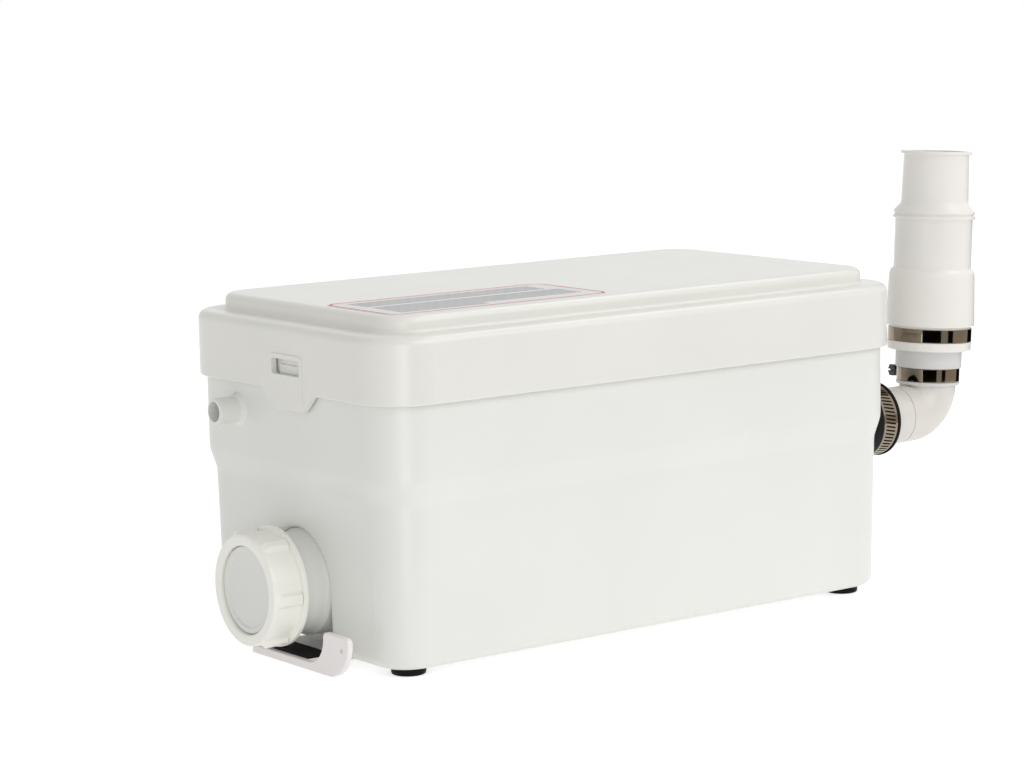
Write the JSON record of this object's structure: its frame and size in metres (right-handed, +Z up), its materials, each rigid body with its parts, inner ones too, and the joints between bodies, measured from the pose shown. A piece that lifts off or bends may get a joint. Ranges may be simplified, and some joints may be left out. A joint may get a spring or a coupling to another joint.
{
  "type": "grey water pump",
  "caption": "Boxed pump that lifts shower and basin waste water: lidded tank, low screw inlet, vent spigot, clamped elbow and stepped hose adaptor outlet.",
  "frame": {"origin": "on the floor under the tank's centre", "axes": "+X along the tank's length towards the discharge end, -Y towards its long front face, +Z up"},
  "size_m": [0.4004, 0.1798, 0.2095],
  "materials": {
    "tank_plastic": "satin",
    "lid_plastic": "gloss",
    "fitting_plastic": "gloss",
    "bracket_plastic": "satin",
    "elbow_plastic": "satin",
    "pale_rubber": "satin",
    "black_rubber": "matte",
    "clamp_steel": "polished",
    "screw_steel": "brushed",
    "label_film": "satin",
    "copper_winding": "enamelled",
    "pump_plastic": "satin",
    "motor_can": "satin",
    "box_plastic": "satin",
    "capacitor_can": "satin",
    "board_green": "satin",
    "active_carbon": "matte",
    "gland_plastic": "satin"
  },
  "bodies": {
    "tank": {"tank_shell": "tank_plastic", "lid_gasket": "black_rubber", "rubber_feet": "black_rubber", "filter_canister": "pump_plastic", "carbon_pad": "active_carbon", "floor_bracket": "bracket_plastic", "bracket_screws": "screw_steel", "bracket_pad": "black_rubber", "outlet_sleeve": "black_rubber", "sleeve_clamp": "clamp_steel", "volute_housing": "pump_plastic", "volute_cover": "pump_plastic", "suction_strainer": "pump_plastic", "pump_pads": "black_rubber", "motor_base": "pump_plastic", "motor_canister": "motor_can", "pump_screws": "screw_steel", "stator_core": "screw_steel", "stator_windings": "copper_winding", "lower_bearing": "screw_steel", "upper_bearing": "screw_steel", "shaft_seal": "black_rubber", "riser_hose": "black_rubber", "hose_bands": "clamp_steel", "air_bell": "pump_plastic", "diaphragm": "black_rubber", "switch_cup": "pump_plastic", "microswitch": "pump_plastic", "control_box": "box_plastic", "control_box_cover": "box_plastic", "cover_screws": "screw_steel", "box_screws": "screw_steel", "capacitor": "capacitor_can", "control_board": "board_green", "cable_gland": "gland_plastic", "gland_locknut": "gland_plastic"},
    "lid": {"lid_shell": "lid_plastic", "service_label": "label_film"},
    "inlet_plug": {"inlet_seal": "black_rubber", "blanking_disc": "fitting_plastic"},
    "inlet_nut": {"inlet_nut": "fitting_plastic"},
    "rotor": {"rotor_core": "screw_steel", "motor_shaft": "screw_steel", "impeller": "pump_plastic", "impeller_nut": "screw_steel"},
    "discharge": {"discharge_elbow": "elbow_plastic", "valve_seat": "elbow_plastic", "flap_pin": "screw_steel", "flexible_coupling": "pale_rubber", "stepped_adaptor": "pale_rubber", "upper_clamp": "clamp_steel", "lower_clamp": "clamp_steel"},
    "check_flap": {"check_flap": "black_rubber"},
    "switch_plunger": {"switch_plunger": "pump_plastic"},
    "sleeve_screw": {"sleeve_clamp_screw": "screw_steel"},
    "upper_screw": {"upper_clamp_screw": "screw_steel"},
    "lower_screw": {"lower_clamp_screw": "screw_steel"}
  },
  "joints": [
    {"name": "lid_lift", "type": "slide", "parent": "tank", "child": "lid", "axis": [0, 0, 1], "range_m": [0, 0.12]},
    {"name": "inlet_plug_slide", "type": "slide", "parent": "tank", "child": "inlet_plug", "axis": [-1, 0, 0], "range_m": [0, 0.012]},
    {"name": "inlet_nut_turn", "type": "hinge", "parent": "inlet_plug", "child": "inlet_nut", "pos_m": [-0.164, 0, 0.0332], "axis": [-1, 0, 0], "range_deg": [0, 1080]},
    {"name": "rotor_spin", "type": "hinge", "parent": "tank", "child": "rotor", "pos_m": [0.034, -0.02, 0.06], "axis": [0, 0, 1], "continuous": true},
    {"name": "discharge_swivel", "type": "hinge", "parent": "tank", "child": "discharge", "pos_m": [0.1587, -0.045, 0.079], "axis": [1, 0, 0], "range_deg": [-90, 90]},
    {"name": "check_flap_hinge", "type": "hinge", "parent": "discharge", "child": "check_flap", "pos_m": [0.1657, -0.045, 0.0886], "axis": [0, -1, 0], "range_deg": [0, 50]},
    {"name": "switch_plunger_slide", "type": "slide", "parent": "tank", "child": "switch_plunger", "axis": [0, 0, 1], "range_m": [0, 0.0012], "stiffness_N_per_m": 200},
    {"name": "sleeve_screw_turn", "type": "hinge", "parent": "tank", "child": "sleeve_screw", "pos_m": [0.1608, -0.0238, 0.079], "axis": [0, 0, 1], "continuous": true},
    {"name": "upper_screw_turn", "type": "hinge", "parent": "discharge", "child": "upper_screw", "pos_m": [0.21828, -0.02554, 0.11703], "axis": [-0.8078, 0.5878, 0.0452], "continuous": true},
    {"name": "lower_screw_turn", "type": "hinge", "parent": "discharge", "child": "lower_screw", "pos_m": [0.20567, -0.02628, 0.0976], "axis": [-0.9887, 0.1392, 0.0553], "continuous": true}
  ],
  "couplings": [
    {"joint": "inlet_nut_turn", "follows": "inlet_plug_slide", "rad_per_m": 1570.8}
  ]
}
